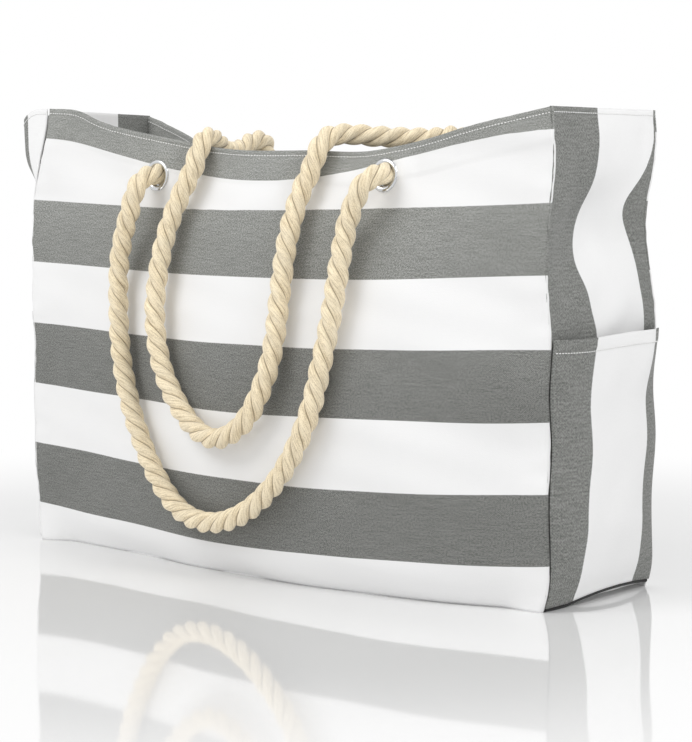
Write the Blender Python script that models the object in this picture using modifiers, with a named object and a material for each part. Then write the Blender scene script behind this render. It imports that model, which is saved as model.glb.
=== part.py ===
# Striped canvas tote bag with two rope handles, as a stack of separate sewn and fitted pieces.
# Metres, +Z up. X runs along the bag's front, -Y is its front, the origin is the middle of its base.
import bpy
import bmesh
from math import atan, cos, pi, sin
from mathutils import Matrix, Vector

# The bag
WIDTH = 0.56                 # across the front, seam to seam
DEPTH = 0.15                 # front seam to back seam of a side
CORNER_LEFT = 0.388          # height of the mouth at its left corners
CORNER_RIGHT = 0.379         # height of the mouth at its right corners
FRONT_DIP = 0.347            # lowest point of the front edge of the mouth
FRONT_DIP_X = 0.06
BACK_DIP = 0.342             # lowest point of the back edge of the mouth
BACK_DIP_X = 0.0
CANVAS = 0.0012              # thickness of the striped canvas
LINING = 0.0006              # thickness of the lining cloth
GAP = 0.0003                 # air left between two pieces that touch
SLOPE_ALLOWANCE = 1.25       # a sloping sheet measures more along the depth than across itself
LAYER = (CANVAS + GAP) * SLOPE_ALLOWANCE
LINING_LAYER = (LINING + GAP) * SLOPE_ALLOWANCE
FACING_BOTTOM = 0.300        # height at which the facing ends and the lining starts

# How the cloth stands
FRONT_BELLY = 0.045          # how far the front bows out
BACK_BELLY = 0.025           # how far the back bows out
BELLY_X = 0.05               # where the front bows out the most
BELLY_Z = 0.09
BELLY_TOP = 0.345            # height at which the bow has died out
FRONT_PINCH = 0.006          # how far the front of the mouth is drawn inwards
BACK_PINCH = 0.040           # how far the back of the mouth is drawn forwards
SIDE_TUCK = 0.012            # how far a side folds inwards
SIDE_TUCK_Z = 0.29
SIDE_TUCK_HEIGHT = 0.05

# Side pockets
POCKET_TOP = 0.207
POCKET_BOTTOM = 0.004
POCKET_STAND_OFF = 0.010     # how far the pocket's mouth stands open
POCKET_SEAM = 0.004          # left free beside the pocket on each side

# Eyelets
EYELET_X = 0.124
EYELET_Z = 0.328
ROPE = 0.008                 # radius of the rope
ROPE_PLAY = 0.0010           # room left around the rope in an eyelet
EYELET_BORE = ROPE + ROPE_PLAY
EYELET_WALL = 0.0008
EYELET_FLANGE = 0.0133
EYELET_CROWN = 0.0016
EYELET_HOLE_PLAY = 0.0004
PLATE_HALF = 0.0165          # half the side of the flat patch of cloth around an eyelet
PLATE_SLOPE = 0.5            # how much of the cloth's own slope that patch keeps
WASHER = 0.0007

# Ropes
KNOT = 0.0135                # radius of a stopper knot
KNOT_HALF_LENGTH = 0.011
KNOT_SET_BACK = 0.0065       # from the outer face of the cloth to the near side of a knot
FRONT_HINGE_Y = -0.0935      # the front handle turns about this line
FRONT_HINGE_Z = 0.3265
FRONT_LEFT_X = -0.1245
FRONT_RIGHT_X = 0.121
BACK_HINGE_Y = 0.0475        # the back handle bends here, over the back edge
BACK_HINGE_Z = 0.3565
BACK_HINGE_X = 0.110
RISER = [(0.119, 0.0080, 0.0045), (0.114, 0.0100, 0.0150)]   # sideways, behind that bend, above the eyelet
OVER_HINGE_Y = -0.079        # and here, over the front edge
OVER_HINGE_Z = 0.362
OVER_LEFT_X = -0.070
OVER_RIGHT_X = 0.060
JOINT_GAP = 0.0005           # between a rope's round end and the length that turns about it
ROPE_SIDES = 8

# Inside
ZIP_HALF = 0.085             # half the length of the zip
ZIP_Z = 0.262
ZIP_TAPE = 0.010
TAPE_THICK = 0.0005
TEETH = 0.0016
TEETH_THICK = 0.0012
POUCH_HALF = 0.090
POUCH_BOTTOM = 0.100
SNAP_RADIUS = 0.009
SNAP_THICK = 0.0024
SNAP_Z = 0.324
SNAP_GAP = 0.0002
SLIDER_GAP = 0.0004          # running gap of the slider over the teeth
EDGING = 0.0015              # radius of the dark edging under each side

# Routes of the ropes, from one joint to the next
FRONT_ROUTE = [
    (-0.1245, -0.0945, 0.312), (-0.129, -0.097, 0.297), (-0.138, -0.099, 0.281),
    (-0.147, -0.097, 0.250), (-0.147, -0.098, 0.210), (-0.140, -0.101, 0.168),
    (-0.123, -0.106, 0.127), (-0.096, -0.112, 0.086), (-0.058, -0.119, 0.053),
    (-0.014, -0.125, 0.046), (0.031, -0.130, 0.062), (0.067, -0.131, 0.095),
    (0.090, -0.128, 0.138), (0.099, -0.122, 0.181), (0.103, -0.114, 0.221),
    (0.105, -0.107, 0.258), (0.107, -0.101, 0.285), (0.115, -0.097, 0.302), (0.121, -0.0945, 0.312),
]
BACK_ROUTE = [
    (-0.070, -0.0798, 0.347), (-0.074, -0.0825, 0.332), (-0.083, -0.088, 0.311),
    (-0.093, -0.096, 0.276), (-0.097, -0.102, 0.240), (-0.094, -0.108, 0.202),
    (-0.079, -0.113, 0.163), (-0.045, -0.121, 0.128), (-0.009, -0.127, 0.115),
    (0.026, -0.130, 0.132), (0.044, -0.126, 0.166), (0.049, -0.120, 0.198),
    (0.048, -0.112, 0.235), (0.047, -0.102, 0.275), (0.049, -0.090, 0.310),
    (0.055, -0.0825, 0.331), (0.060, -0.0798, 0.347),
]
SPAN_LEFT = [(-0.110, 0.032, 0.3595), (-0.104, 0.008, 0.3580), (-0.090, -0.024, 0.3590),
             (-0.076, -0.050, 0.3612), (-0.070, -0.062, 0.3620)]
SPAN_RIGHT = [(0.110, 0.032, 0.3595), (0.104, 0.008, 0.3580), (0.084, -0.026, 0.3590),
              (0.066, -0.050, 0.3612), (0.060, -0.062, 0.3620)]

GREY = (0.22, 0.22, 0.21, 1)
WHITE = (0.86, 0.86, 0.85, 1)
ROPE_COLOUR = (0.66, 0.56, 0.38, 1)
STEEL = (0.75, 0.75, 0.76, 1)
DARK = (0.05, 0.05, 0.05, 1)


def smoothStep(t):
    t = max(0.0, min(1.0, t))
    return t * t * (3 - 2 * t)


def bowAcross(x):
    if x < BELLY_X:
        return cos(pi / 2 * (BELLY_X - x) / (BELLY_X + WIDTH / 2)) ** 2
    return 1 - ((x - BELLY_X) / (WIDTH / 2 - BELLY_X)) ** 2.4


def bowUpwards(z):
    if z < BELLY_Z:
        return 1 - 0.2 * ((BELLY_Z - z) / BELLY_Z) ** 2
    t = min(1.0, (z - BELLY_Z) / (BELLY_TOP - BELLY_Z))
    return max(0.0, cos(pi / 2 * t)) ** 1.2


def edgeHeight(x, dip, dipX):
    # height of the mouth's edge, which sags between its corners
    corner = CORNER_LEFT if x < dipX else CORNER_RIGHT
    reach = WIDTH / 2 + dipX if x < dipX else WIDTH / 2 - dipX
    return dip + (corner - dip) * ((x - dipX) / reach) ** 2


def frontDepth(x, z):
    pinch = FRONT_PINCH * (1 - abs(2 * x / WIDTH) ** 3) ** 2 * smoothStep((z - 0.27) / 0.09)
    return -DEPTH / 2 - FRONT_BELLY * bowAcross(x) * bowUpwards(z) + pinch


def backDepth(x, z):
    pinch = BACK_PINCH * (1 - abs(2 * x / WIDTH) ** 3) ** 2 * smoothStep((z - 0.16) / 0.18)
    return DEPTH / 2 + BACK_BELLY * (1 - abs(2 * x / WIDTH) ** 2.4) * bowUpwards(z) - pinch


def platePlane(depth, side):
    # depth and slopes of the flat patch around the eyelet on this side
    x, z, step = side * EYELET_X, EYELET_Z, 0.008
    slopeX = (depth(x + step, z) - depth(x - step, z)) / (2 * step) * PLATE_SLOPE
    slopeZ = (depth(x, z + step) - depth(x, z - step)) / (2 * step) * PLATE_SLOPE
    return depth(x, z), slopeX, slopeZ


def patchedDepth(depth, x, z):
    reach = PLATE_HALF + 1e-6
    side = 1 if x > 0 else -1
    if abs(x - side * EYELET_X) < reach and abs(z - EYELET_Z) < reach:
        y, slopeX, slopeZ = platePlane(depth, side)
        return y + slopeX * (x - side * EYELET_X) + slopeZ * (z - EYELET_Z)
    return depth(x, z)


def plateFrame(depth, side, outward):
    # a matrix at the eyelet's seat, with its Z pointing out of the bag
    y, slopeX, slopeZ = platePlane(depth, side)
    normal = Vector((slopeX, -1, slopeZ)).normalized() * (-outward)
    turn = normal.to_track_quat("Z", "Y").to_matrix().to_4x4()
    return Matrix.Translation((side * EYELET_X, y, EYELET_Z)) @ turn


def frontPoint(x, z):
    return Vector((x, patchedDepth(frontDepth, x, z), z))


def backPoint(x, z):
    return Vector((x, patchedDepth(backDepth, x, z), z))


def sidePoint(side, y, z):
    hollow = (1 - min(1.0, abs(2 * y / DEPTH)) ** 2) ** 2
    tuck = SIDE_TUCK * hollow * 2.718 ** (-((z - SIDE_TUCK_Z) / SIDE_TUCK_HEIGHT) ** 2)
    return Vector((side * (WIDTH / 2 - tuck), y, z))


def material(name, colour, roughness, metallic=0.0):
    made = bpy.data.materials.new(name)
    made.use_nodes = True
    shader = made.node_tree.nodes["Principled BSDF"]
    shader.inputs["Base Color"].default_value = colour
    shader.inputs["Roughness"].default_value = roughness
    shader.inputs["Metallic"].default_value = metallic
    return made


def place(name, mesh, finish, collection=None):
    made = bpy.data.objects.new(name, mesh)
    if finish:
        mesh.materials.append(material(name, *finish))
    (collection or bag).objects.link(made)
    return made


def sheet(name, point, columns, rows, top, shift, thickness, finish):
    # a sewn sheet: a grid of points on a surface, shifted into the bag and given its thickness
    mesh = bpy.data.meshes.new(name)
    cage = bmesh.new()
    grid = []
    for v in rows + ["top"]:
        heights = [top(u) if v == "top" else v for u in columns]
        grid.append([cage.verts.new(point(u, h) + Vector(shift)) for u, h in zip(columns, heights)])
    for lower, upper in zip(grid, grid[1:]):
        for i in range(len(columns) - 1):
            cage.faces.new((lower[i], lower[i + 1], upper[i + 1], upper[i]))
    cage.to_mesh(mesh)
    cage.free()
    made = place(name, mesh, finish)
    solid = made.modifiers.new("thickness", "SOLIDIFY")
    solid.thickness = thickness
    solid.offset = -1
    solid.use_even_offset = True
    return made


def turned(name, profile, frame, finish, collection=None, steps=24):
    # a profile of (radius, height) pairs, down its outer side and back up its inner side
    mesh = bpy.data.meshes.new(name)
    mesh.from_pydata([(r, 0, z) for r, z in profile],
                     [(i, (i + 1) % len(profile)) for i in range(len(profile))], [])
    made = place(name, mesh, finish, collection)
    made.matrix_world = frame
    screw = made.modifiers.new("turn", "SCREW")
    screw.axis = "Z"
    screw.steps = steps
    screw.render_steps = steps
    screw.use_merge_vertices = True
    screw.merge_threshold = 0.00001
    return made


def disc(name, radius, low, high, frame, finish, collection=None):
    mesh = bpy.data.meshes.new(name)
    solid = bmesh.new()
    bmesh.ops.create_cone(solid, cap_ends=True, segments=24, radius1=radius, radius2=radius,
                          depth=high - low, matrix=Matrix.Translation((0, 0, (high + low) / 2)))
    solid.to_mesh(mesh)
    solid.free()
    made = place(name, mesh, finish, collection)
    made.matrix_world = frame
    return made


def prism(name, outline, thickness, frame, finish, low=0.0):
    # a flat outline with a thickness along its own Z, from this height up
    mesh = bpy.data.meshes.new(name)
    solid = bmesh.new()
    face = solid.faces.new([solid.verts.new((x, y, low)) for x, y in outline])
    grown = bmesh.ops.extrude_face_region(solid, geom=[face])
    moved = [v for v in grown["geom"] if isinstance(v, bmesh.types.BMVert)]
    bmesh.ops.translate(solid, vec=(0, 0, thickness), verts=moved)
    bmesh.ops.recalc_face_normals(solid, faces=solid.faces)
    solid.to_mesh(mesh)
    solid.free()
    made = place(name, mesh, finish)
    made.matrix_world = frame
    return made


def rope(name, stops, finish, origin=(0, 0, 0)):
    # a tube along (point, radius) stops, with its object's origin on its joint
    curve = bpy.data.curves.new(name, "CURVE")
    curve.dimensions = "3D"
    curve.bevel_depth = 1.0
    curve.bevel_resolution = ROPE_SIDES // 4
    curve.use_fill_caps = True
    spline = curve.splines.new("POLY")
    spline.points.add(len(stops) - 1)
    for spot, (point, radius) in zip(spline.points, stops):
        spot.co = (*(Vector(point) - Vector(origin)), 1)
        spot.radius = radius
    made = bpy.data.objects.new(name, curve)
    made.location = origin
    curve.materials.append(material(name, *finish))
    bag.objects.link(made)
    return made


def smoothRoute(points, spacing):
    # a smooth curve through the route's points, read off at an even spacing
    spots = [Vector(p) for p in points]
    ends = [spots[0] * 2 - spots[1]] + spots + [spots[-1] * 2 - spots[-2]]
    fine = []
    for a, b, c, d in zip(ends, ends[1:], ends[2:], ends[3:]):
        for k in range(12):
            t = k / 12
            fine.append(0.5 * (2 * b + (c - a) * t + (2 * a - 5 * b + 4 * c - d) * t * t
                               + (3 * b - a - 3 * c + d) * t * t * t))
    fine.append(spots[-1])
    total = sum((q - p).length for p, q in zip(fine, fine[1:]))
    count = max(1, round(total / spacing))
    out, run, goal = [fine[0]], 0.0, total / count
    for p, q in zip(fine, fine[1:]):
        length = (q - p).length
        while run + length >= goal * len(out) and len(out) < count:
            out.append(p.lerp(q, (goal * len(out) - run) / length))
        run += length
    return out + [fine[-1]]


def roundEnd(joint, direction):
    # a half ball about the joint, which ends the rope that holds still there
    return [(joint + direction * ROPE * sin(a), ROPE * max(cos(a), 0.02)) for a in (0, pi / 5, pi / 2.6, pi / 2)]


def ropeStops(points):
    return [(p, ROPE) for p in points]


def handleEnd(name, frame, outer, joint, finish):
    # stopper knot inside, rope through the eyelet, and what of it stays with the bag
    base, out = frame.translation, frame.to_3x3() @ Vector((0, 0, 1))
    middle = -(KNOT_SET_BACK + KNOT_HALF_LENGTH)
    stops = []
    for angle in (-80, -50, -20, 10, 40):
        along = middle + KNOT_HALF_LENGTH * sin(angle * pi / 180)
        stops.append((base + out * along, KNOT * cos(angle * pi / 180)))
    stops.append((base - out * KNOT_SET_BACK, ROPE))
    stops.append((base + out * 0.006, ROPE))
    last = (Vector(joint) - Vector(outer[-1] if outer else stops[-1][0])).normalized()
    stops += ropeStops(Vector(p) for p in outer)
    rope(name, stops + roundEnd(Vector(joint), last), finish)


def startOf(joint, towards):
    joint, towards = Vector(joint), Vector(towards)
    return joint + (towards - joint).normalized() * (ROPE + JOINT_GAP)


def columnsAlongFront(inset):
    half = WIDTH / 2 - inset
    inner = [0.0, 0.055, EYELET_X - PLATE_HALF, EYELET_X + PLATE_HALF, 0.185, 0.235]
    right = [x for x in inner if x < half - 0.01] + [half]
    return [-x for x in reversed(right[1:])] + right


def rowsUp(bottom, top, inner):
    return [bottom] + [z for z in inner if bottom + 0.002 < z < top - 0.002]


def makeCloth():
    cloth = (WHITE, 0.9)
    grey = (GREY, 0.9)
    low = [0.025, 0.06, 0.10, 0.14, 0.18, 0.22, 0.262, FACING_BOTTOM]
    plateRows = [EYELET_Z - PLATE_HALF, EYELET_Z + PLATE_HALF]
    layer = CANVAS + GAP

    def frontEdge(x):
        return edgeHeight(x, FRONT_DIP, FRONT_DIP_X)

    def backEdge(x):
        return edgeHeight(x, BACK_DIP, BACK_DIP_X)

    for word, point, edge, inward in (("front", frontPoint, frontEdge, 1), ("back", backPoint, backEdge, -1)):
        wide = columnsAlongFront(0)[::inward]
        within = columnsAlongFront(layer + GAP)[::inward]
        shift = (0, LAYER * inward, 0)
        sheet(word + "_panel", point, wide, rowsUp(0.0, 1, low + plateRows), edge, (0, 0, 0), CANVAS, grey)
        sheet("hem_facing_" + word, point, within, rowsUp(FACING_BOTTOM, 1, plateRows), edge,
              shift, CANVAS, grey)
        sheet("lining_" + word, point, within, rowsUp(2 * layer, FACING_BOTTOM - GAP, low),
              lambda x: FACING_BOTTOM - GAP, shift, LINING, cloth)

    half = DEPTH / 2 - layer
    for word, side in (("left", -1), ("right", 1)):
        ys = [half * t for t in (-1, -0.7, -0.4, -0.12, 0.12, 0.4, 0.7, 1)][::side]
        reach = DEPTH / 2 - LAYER - LINING_LAYER - CANVAS
        within = [y * reach / half for y in ys]
        shift = (-side * LAYER, 0, 0)

        def point(y, z, side=side):
            return sidePoint(side, y, z)

        def corner(y, side=side):
            return CORNER_LEFT if side < 0 else CORNER_RIGHT

        sideRows = [0.05, 0.10, 0.15, 0.20, 0.235, 0.265, FACING_BOTTOM, 0.325, 0.35]
        sheet(word + "_gusset", point, ys, rowsUp(0.0, 1, sideRows), corner, (0, 0, 0), CANVAS, cloth)
        sheet("hem_facing_" + word, point, within, rowsUp(FACING_BOTTOM, 1, sideRows), corner,
              shift, CANVAS, grey)
        sheet("lining_" + word, point, within, rowsUp(2 * layer, FACING_BOTTOM - GAP, sideRows),
              lambda y: FACING_BOTTOM - GAP, shift, LINING, cloth)

        def pocketPoint(y, z, side=side):
            across = 1 - min(1.0, abs(y / (half - POCKET_SEAM))) ** 4
            lift = POCKET_STAND_OFF * across * smoothStep(z / (0.3 * POCKET_TOP))
            return Vector((side * (WIDTH / 2 + CANVAS + GAP + lift), y, z))

        pocketHalf = half - POCKET_SEAM
        pocketYs = [pocketHalf * t for t in (-1, -0.8, -0.5, -0.17, 0.17, 0.5, 0.8, 1)][::side]
        sheet(word + "_side_pocket", pocketPoint, pocketYs, rowsUp(POCKET_BOTTOM, 1, [0.03, 0.06, 0.10, 0.15]),
              lambda y: POCKET_TOP, (0, 0, 0), CANVAS, cloth)

    inner = WIDTH / 2 - layer
    across = list(columnsAlongFront(layer))

    def basePoint(inset):
        def point(x, v):
            front = frontDepth(x, 0) + inset
            back = backDepth(x, 0) - inset
            return Vector((x, front + (back - front) * v, 0))
        return point

    def baseSheet(name, inset, low, thickness, finish):
        point = basePoint(inset)
        half = inner - (inset - SLOPE_ALLOWANCE * layer)
        xs = [x * half / inner for x in across]
        mesh = bpy.data.meshes.new(name)
        cage = bmesh.new()
        grid = [[cage.verts.new(point(x, v / 4) + Vector((0, 0, low))) for x in xs] for v in range(5)]
        for near, far in zip(grid, grid[1:]):
            for i in range(len(xs) - 1):
                cage.faces.new((near[i], far[i], far[i + 1], near[i + 1]))
        cage.to_mesh(mesh)
        cage.free()
        solid = place(name, mesh, finish).modifiers.new("thickness", "SOLIDIFY")
        solid.thickness = thickness
        solid.offset = -1

    baseSheet("bottom_panel", SLOPE_ALLOWANCE * layer, 0.0, CANVAS, grey)
    baseSheet("lining_bottom", SLOPE_ALLOWANCE * layer + LINING + 2 * GAP, layer, LINING, cloth)

    for word, side in (("left", -1), ("right", 1)):
        x = side * (WIDTH / 2 + GAP + EDGING)
        z = EDGING + 0.0001
        rope(word + "_base_edging", [((x, y, z), EDGING) for y in (-DEPTH / 2, 0, DEPTH / 2)], (DARK, 0.7))


def makeEyelets():
    steel = (STEEL, 0.25, 1.0)
    stack = LAYER + CANVAS
    bore, wall = EYELET_BORE, EYELET_BORE + EYELET_WALL
    hole = wall + EYELET_HOLE_PLAY
    seat = GAP
    washerTop = -(stack + GAP)
    washerLow = washerTop - WASHER
    flare = washerLow - GAP
    for word, depth, outward in (("front", frontDepth, 1), ("back", backDepth, -1)):
        for hand, side in (("left", -1), ("right", 1)):
            frame = plateFrame(depth, side, -outward)
            name = word + "_eyelet_" + hand
            crown = seat + EYELET_CROWN
            middle = (bore + EYELET_FLANGE) / 2
            turned(name, [
                (middle, crown), (EYELET_FLANGE - 0.0006, crown - 0.0004), (EYELET_FLANGE, seat + 0.0004),
                (EYELET_FLANGE, seat), (wall, seat), (wall, flare), (hole + 0.0008, flare),
                (hole + 0.0008, flare - 0.0006), (bore, flare - 0.0006), (bore, crown - 0.0005)],
                frame, steel)
            turned(word + "_eyelet_washer_" + hand, [
                (EYELET_FLANGE - 0.0008, washerTop), (EYELET_FLANGE - 0.0008, washerLow),
                (wall + 0.0002, washerLow), (wall + 0.0002, washerTop)], frame, steel)
            cutter = disc("hole_" + name, hole, -0.006, 0.004, frame, None, cutters)
            cutter.hide_render = True
            cutter.display_type = "WIRE"
            for target in (word + "_panel", "hem_facing_" + word):
                cut = bpy.data.objects[target].modifiers.new("eyelet " + hand, "BOOLEAN")
                cut.object = cutter
                cut.operation = "DIFFERENCE"


def makeHandles():
    cotton = (ROPE_COLOUR, 0.95)
    frontLeft = Vector((FRONT_LEFT_X, FRONT_HINGE_Y, FRONT_HINGE_Z))
    frontRight = Vector((FRONT_RIGHT_X, FRONT_HINGE_Y, FRONT_HINGE_Z))
    for word, side, joint in (("left", -1, frontLeft), ("right", 1, frontRight)):
        handleEnd("front_handle_end_" + word, plateFrame(frontDepth, side, -1), [], joint, cotton)
    start, end = startOf(frontLeft, FRONT_ROUTE[0]), startOf(frontRight, FRONT_ROUTE[-1])
    middle = smoothRoute(FRONT_ROUTE, 3 * ROPE)
    rope("front_handle", ropeStops([start] + middle + [end]), cotton,
         (0, FRONT_HINGE_Y, FRONT_HINGE_Z))

    overLeft = Vector((OVER_LEFT_X, OVER_HINGE_Y, OVER_HINGE_Z))
    overRight = Vector((OVER_RIGHT_X, OVER_HINGE_Y, OVER_HINGE_Z))
    for word, side, over, span in (("left", -1, overLeft, SPAN_LEFT), ("right", 1, overRight, SPAN_RIGHT)):
        frame = plateFrame(backDepth, side, 1)
        joint = Vector((side * BACK_HINGE_X, BACK_HINGE_Y, BACK_HINGE_Z))
        riser = [(side * x, BACK_HINGE_Y + behind, EYELET_Z + above) for x, behind, above in RISER]
        handleEnd("back_handle_end_" + word, frame, riser, joint, cotton)
        start = startOf(joint, span[0])
        last = (over - Vector(span[-1])).normalized()
        rope("back_handle_span_" + word,
             ropeStops([start] + smoothRoute(span, 3 * ROPE)) + roundEnd(over, last), cotton,
             (0, BACK_HINGE_Y, BACK_HINGE_Z))
    start, end = startOf(overLeft, BACK_ROUTE[0]), startOf(overRight, BACK_ROUTE[-1])
    rope("back_handle_loop", ropeStops([start] + smoothRoute(BACK_ROUTE, 3 * ROPE) + [end]), cotton,
         (0, OVER_HINGE_Y, OVER_HINGE_Z))


def makeInside():
    steel = (STEEL, 0.3, 1.0)
    cloth = (WHITE, 0.9)
    dark = (DARK, 0.8)
    face = LAYER + LINING_LAYER
    columns = [ZIP_HALF * t for t in (1, 0.67, 0.33, 0, -0.33, -0.67, -1)]

    def strip(name, low, high, inset, thickness, finish, half=1.0):
        sheet(name, backPoint, [x * half for x in columns], [low], lambda x: high, (0, -inset, 0),
              thickness, finish)

    middle = TEETH / 2 + GAP / 2
    strip("zip_tape_upper", ZIP_Z + GAP / 2, ZIP_Z + ZIP_TAPE, face, TAPE_THICK, dark)
    strip("zip_tape_lower", ZIP_Z - ZIP_TAPE, ZIP_Z - GAP / 2, face, TAPE_THICK, dark)
    onTape = face + TAPE_THICK * SLOPE_ALLOWANCE + GAP
    strip("zip_teeth_upper", ZIP_Z + GAP / 2, ZIP_Z + 2 * middle, onTape, TEETH_THICK, steel, 0.94)
    strip("zip_teeth_lower", ZIP_Z - 2 * middle, ZIP_Z - GAP / 2, onTape, TEETH_THICK, steel, 0.94)
    onTeeth = onTape + TEETH_THICK * SLOPE_ALLOWANCE
    for name, side in (("zip_stop_left", -1), ("zip_stop_right", 1)):
        middleX = side * ZIP_HALF * 0.965
        sheet(name, backPoint, [middleX + 0.001, middleX - 0.001], [ZIP_Z - 0.0025],
              lambda x: ZIP_Z + 0.0025, (0, -onTape, 0), 0.0014, steel)

    sliderX = -ZIP_HALF * 0.88
    step = 0.004
    slope = (backDepth(0, ZIP_Z + step) - backDepth(0, ZIP_Z - step)) / (2 * step)
    sliderBack = min(backDepth(x, ZIP_Z) for x in (sliderX, 0, -sliderX)) - onTeeth - SLIDER_GAP
    body, ears, half = 0.0026, 0.0052, 0.0035
    outline = [(-0.004, 0), (0.004, 0), (0.004, -ears), (0.0022, -ears), (0.0022, -body),
               (-0.0022, -body), (-0.0022, -ears), (-0.004, -ears)]
    seat = Matrix.Translation((sliderX, sliderBack, ZIP_Z)) @ Matrix.Rotation(-atan(slope), 4, "X")
    prism("zip_slider", outline, 2 * half, seat @ Matrix.Translation((0, 0, -half)), steel)
    bar = seat @ Vector((0, -body - 0.0013, 0))
    tongue = [(-0.0019, 0.0009), (0.0019, 0.0009), (0.0019, -0.0045), (0.0032, -0.0065),
              (0.0032, -0.0250), (-0.0032, -0.0250), (-0.0032, -0.0065), (-0.0019, -0.0045)]
    hang = Matrix.Translation(bar) @ Matrix.Rotation(pi / 2, 4, "X")
    prism("zip_pull", tongue, 0.0012, hang, steel, -0.0006)

    def pouchPoint(x, z):
        loose = 0.007 * (1 - abs(x / POUCH_HALF) ** 4) * smoothStep((0.25 - z) / 0.02)
        loose *= smoothStep((z - POUCH_BOTTOM) / 0.02)
        return backPoint(x, z) - Vector((0, loose, 0))

    pouchXs = [POUCH_HALF, 0.08, 0.055, 0.0, -0.055, -0.08, -POUCH_HALF]
    sheet("inner_pocket_pouch", pouchPoint, pouchXs, rowsUp(POUCH_BOTTOM, 1, [0.12, 0.14, 0.18, 0.22]),
          lambda x: ZIP_Z - ZIP_TAPE - GAP, (0, -face - 2 * GAP, 0), LINING, cloth)

    inside = LAYER + CANVAS + SNAP_GAP
    for name, depth, outward in (("snap_stud", frontDepth, 1), ("snap_socket", backDepth, -1)):
        step = 0.012
        slope = (depth(0, SNAP_Z + step) - depth(0, SNAP_Z - step)) / (2 * step)
        normal = Vector((0, -1, slope)).normalized() * outward
        turn = normal.to_track_quat("Z", "Y").to_matrix().to_4x4()
        frame = Matrix.Translation((0, depth(0, SNAP_Z), SNAP_Z)) @ turn
        disc(name, SNAP_RADIUS, -inside - SNAP_THICK, -inside, frame, steel)


for old in list(bpy.data.objects):
    bpy.data.objects.remove(old)
bag = bpy.data.collections.new("rope handle tote bag")
cutters = bpy.data.collections.new("cutters")
bpy.context.scene.collection.children.link(bag)
bpy.context.scene.collection.children.link(cutters)
makeCloth()
makeEyelets()
makeHandles()
makeInside()
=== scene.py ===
# Striped canvas tote bag with rope handles: its visible cloth, rope, eyelets and stitches
from math import pi, radians

import bpy
import numpy as np
from mathutils import Matrix, Vector


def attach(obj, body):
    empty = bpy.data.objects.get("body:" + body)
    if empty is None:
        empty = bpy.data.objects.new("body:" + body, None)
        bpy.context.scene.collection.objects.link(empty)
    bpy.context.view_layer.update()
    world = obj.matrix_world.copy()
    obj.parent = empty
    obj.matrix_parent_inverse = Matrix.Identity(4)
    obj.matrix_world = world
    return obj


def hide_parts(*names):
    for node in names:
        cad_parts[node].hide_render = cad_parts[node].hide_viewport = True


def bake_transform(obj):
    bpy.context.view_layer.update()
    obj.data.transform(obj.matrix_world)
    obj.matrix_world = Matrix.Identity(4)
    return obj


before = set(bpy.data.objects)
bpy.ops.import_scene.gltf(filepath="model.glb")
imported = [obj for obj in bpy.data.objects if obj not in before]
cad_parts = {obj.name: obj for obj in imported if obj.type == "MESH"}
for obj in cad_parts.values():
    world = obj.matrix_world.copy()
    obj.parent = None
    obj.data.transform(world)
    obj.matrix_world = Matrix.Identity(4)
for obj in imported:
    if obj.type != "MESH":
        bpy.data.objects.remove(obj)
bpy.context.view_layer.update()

# how the bag stands; the same sizes as the model it is built around, in metres
bagForm = {
    "width": 0.56, "depth": 0.15, "height": 0.38,
    "frontBelly": 0.045, "backBelly": 0.025, "bellyX": 0.05, "bellyZ": 0.09, "bellyTop": 0.345,
    "frontPinch": 0.006, "backPinch": 0.040,
    "frontEdge": [(-0.28, 0.387), (-0.24, 0.3845), (-0.20, 0.3745), (-0.13, 0.3615), (-0.05, 0.350),
                  (0.04, 0.348), (0.11, 0.3475), (0.155, 0.3545), (0.20, 0.3645), (0.28, 0.379)],
    "backEdge": [(-0.28, 0.384), (-0.24, 0.372), (-0.20, 0.360), (-0.11, 0.349), (0.0, 0.344),
                 (0.11, 0.347), (0.2, 0.36), (0.28, 0.379)],
    "sideTuck": 0.018, "sideTuckZ": 0.285, "sideTuckHeight": 0.036,
    "leftFlare": 0.034,
}
canvas = {"thickness": 0.0012, "gap": 0.0003, "layer": 0.0019, "lining": 0.0006,
          "cell": 0.0022, "crease": 0.0016, "drag": 0.0012, "ripple": 0.0010, "pucker": 0.0007,
          "facingHeight": 0.045, "facingMargin": 0.002,
          "liningMargin": 0.003, "liningCell": 0.006, "liningBehind": 0.0004, "liningOverlap": 0.001}

# how a seam is turned and drawn in, and where the bag hangs out of true
seam = {"round": 0.0030, "draw": 0.0010, "drawnAt": 0.004}
sag = {"back": 0.011, "z": 0.292, "height": 0.045, "sideFrom": 0.19, "wander": 0.0028,
       "corner": 0.023, "cornerZ": 0.30, "cornerHeight": 0.085,
       "foot": 0.006, "under": 0.011, "footHeight": 0.03}
# where the cloth is kept still, for the snap and the zip: face, place across, height, half width, half height
calm = [("front", 0.0, 0.324, 0.012, 0.012), ("back", 0.0, 0.324, 0.012, 0.012),
        ("back", 0.0, 0.19, 0.10, 0.10)]


def smooth(t):
    t = np.clip(t, 0.0, 1.0)
    return t * t * (3 - 2 * t)


def alongCurve(points, x):
    # a smooth line through a few chosen points
    px, py = np.array(points, float).T
    slope = np.gradient(py, px)
    k = np.clip(np.searchsorted(px, x) - 1, 0, len(px) - 2)
    h = px[k + 1] - px[k]
    t = np.clip((x - px[k]) / h, 0, 1)
    return ((2 * t**3 - 3 * t**2 + 1) * py[k] + (t**3 - 2 * t**2 + t) * h * slope[k]
            + (3 * t**2 - 2 * t**3) * py[k + 1] + (t**3 - t**2) * h * slope[k + 1])


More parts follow.
